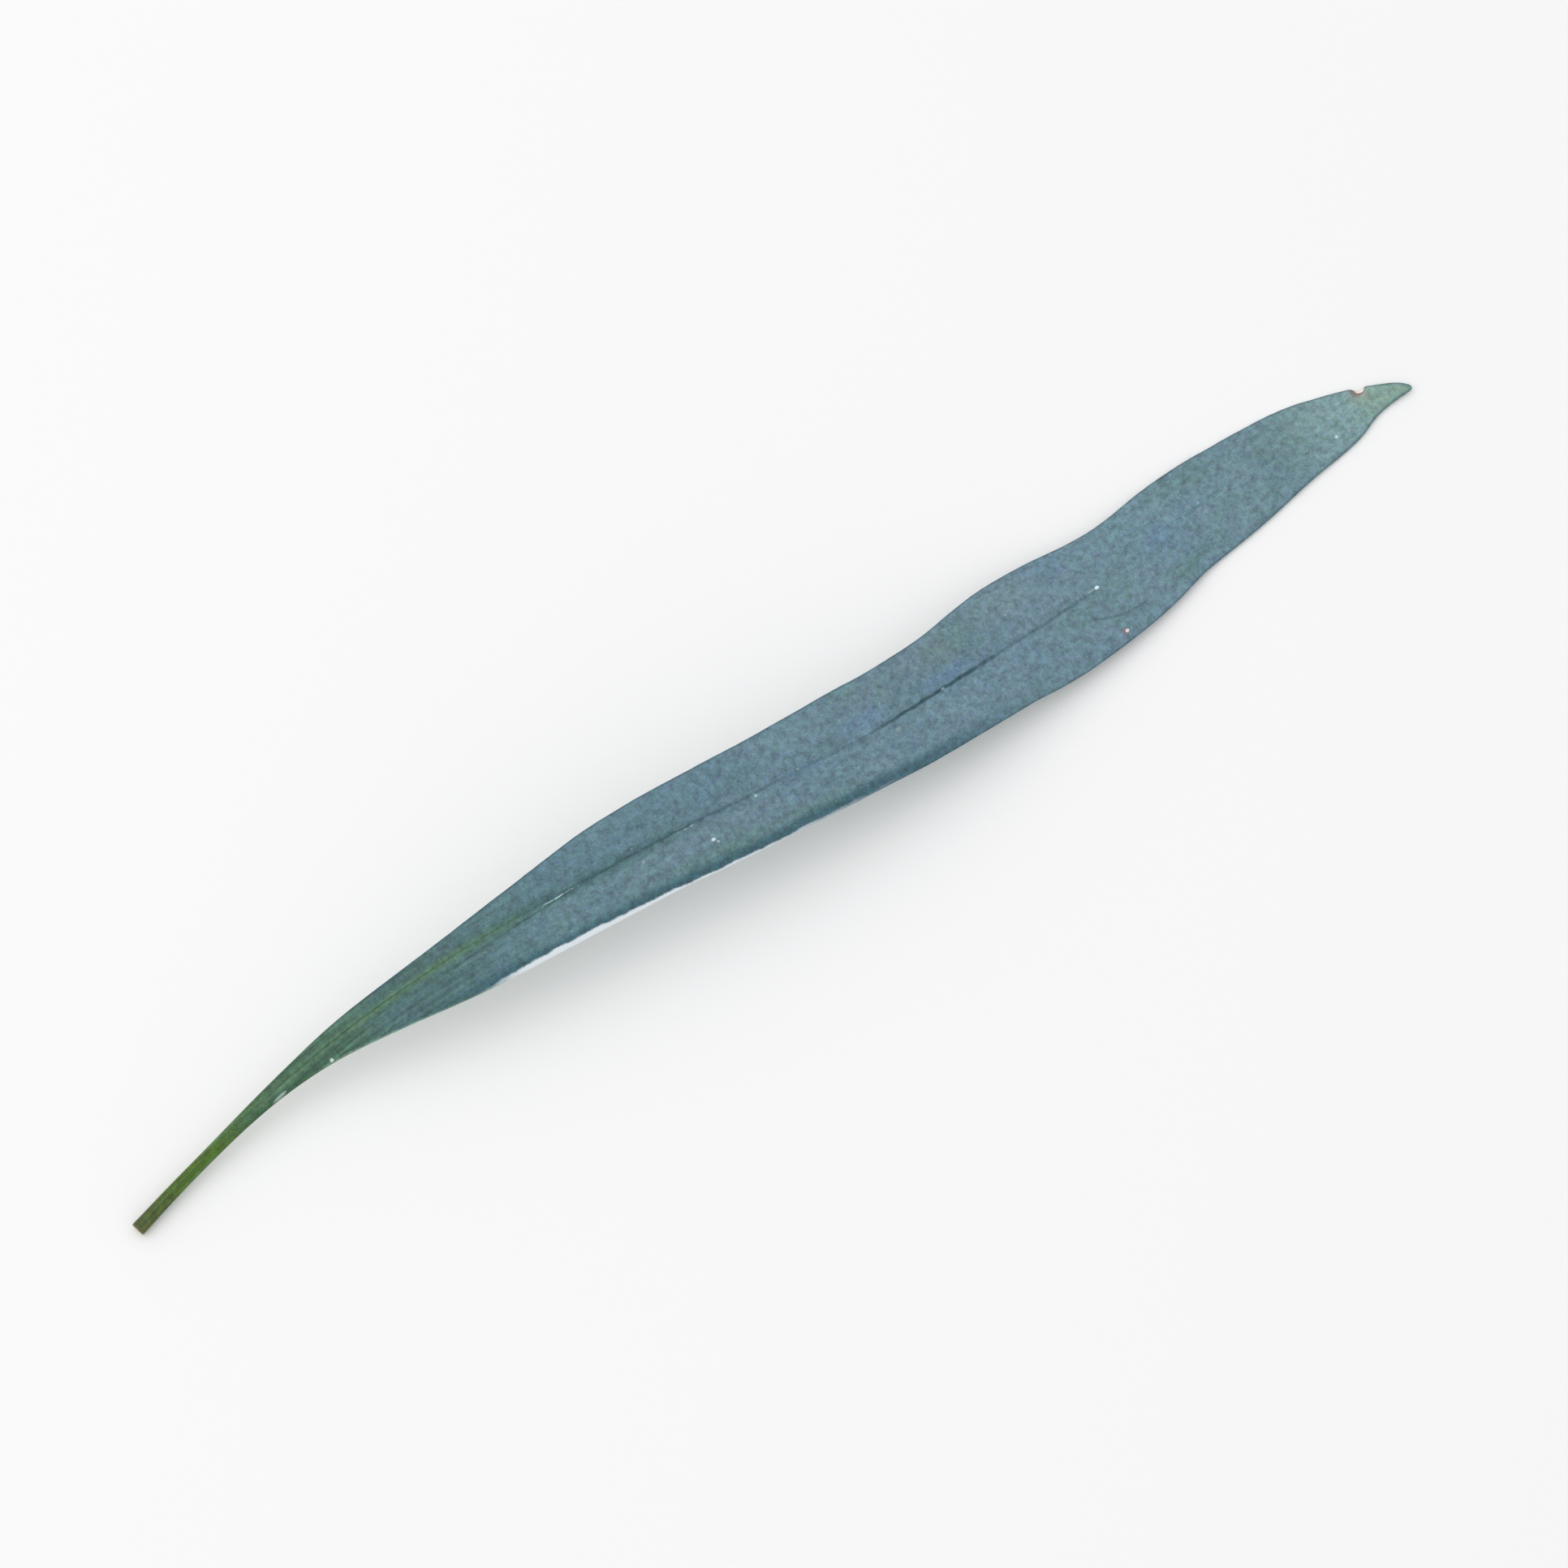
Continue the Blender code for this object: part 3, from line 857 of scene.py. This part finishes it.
tone = cover(tree, tone, paint(104, 92, 54), rind)
shader = tree.nodes["Principled BSDF"]
plug(tree, shader.inputs["Base Color"], tone)
shader.inputs["Roughness"].default_value = 0.42
bump = {"Height": skin["Height"], "Strength": 0.7, "Distance": 0.03 * MM}
plug(tree, shader.inputs["Normal"], add_node(tree, "Bump", bump)["Normal"])

# ---------------------------------------------------------------------------------------------
# Floor: a plain pale sheet that the frond lies on.
# ---------------------------------------------------------------------------------------------
bpy.ops.object.select_all(action="DESELECT")
bpy.ops.mesh.primitive_plane_add(size=6.0)
floor = bpy.context.object
floor.name = "floor"
floor_paint = bpy.data.materials.new("pale_floor")
floor_paint.use_nodes = True
floor_shader = floor_paint.node_tree.nodes["Principled BSDF"]
floor_shader.inputs["Base Color"].default_value = (1.0, 0.985, 0.97, 1)
floor_shader.inputs["Roughness"].default_value = 0.9
floor.data.materials.append(floor_paint)

# ---------------------------------------------------------------------------------------------
# Light: a big soft lamp above and to the left, and pale walls all round.
# ---------------------------------------------------------------------------------------------
room = bpy.data.worlds.new("pale_room")
room.use_nodes = True
walls = room.node_tree.nodes["Background"]
walls.inputs["Color"].default_value = (0.95, 0.97, 1.0, 1)
walls.inputs["Strength"].default_value = 0.76
bpy.context.scene.world = room
LAMP_PLACE = Vector((-0.30, 0.30, 0.80))
LAMP_SIZE = 1.2
LAMP_POWER = 3.2
bpy.ops.object.light_add(type="AREA", location=LAMP_PLACE)
softbox = bpy.context.object
softbox.data.size = LAMP_SIZE
softbox.data.energy = LAMP_POWER
softbox.rotation_euler = LAMP_PLACE.to_track_quat("Z", "Y").to_euler()

# ---------------------------------------------------------------------------------------------
# Camera: looks steeply down, with the frond rising from lower left to upper right.
# ---------------------------------------------------------------------------------------------
CAMERA_AZIMUTH = math.radians(-34)
CAMERA_ELEVATION = math.radians(72)
CAMERA_DISTANCE = 0.62
CAMERA_LENS = 150
LOOK_AT = Vector((0, 0, 0.004))
bpy.ops.object.camera_add()
camera = bpy.context.object
away = Vector(
    (
        math.sin(CAMERA_AZIMUTH) * math.cos(CAMERA_ELEVATION),
        -math.cos(CAMERA_AZIMUTH) * math.cos(CAMERA_ELEVATION),
        math.sin(CAMERA_ELEVATION),
    )
)
camera.location = LOOK_AT + CAMERA_DISTANCE * away
camera.rotation_euler = away.to_track_quat("Z", "Y").to_euler()
camera.data.lens = CAMERA_LENS
camera.data.clip_start = 0.01
bpy.context.scene.camera = camera
bpy.context.scene.view_settings.view_transform = "Standard"
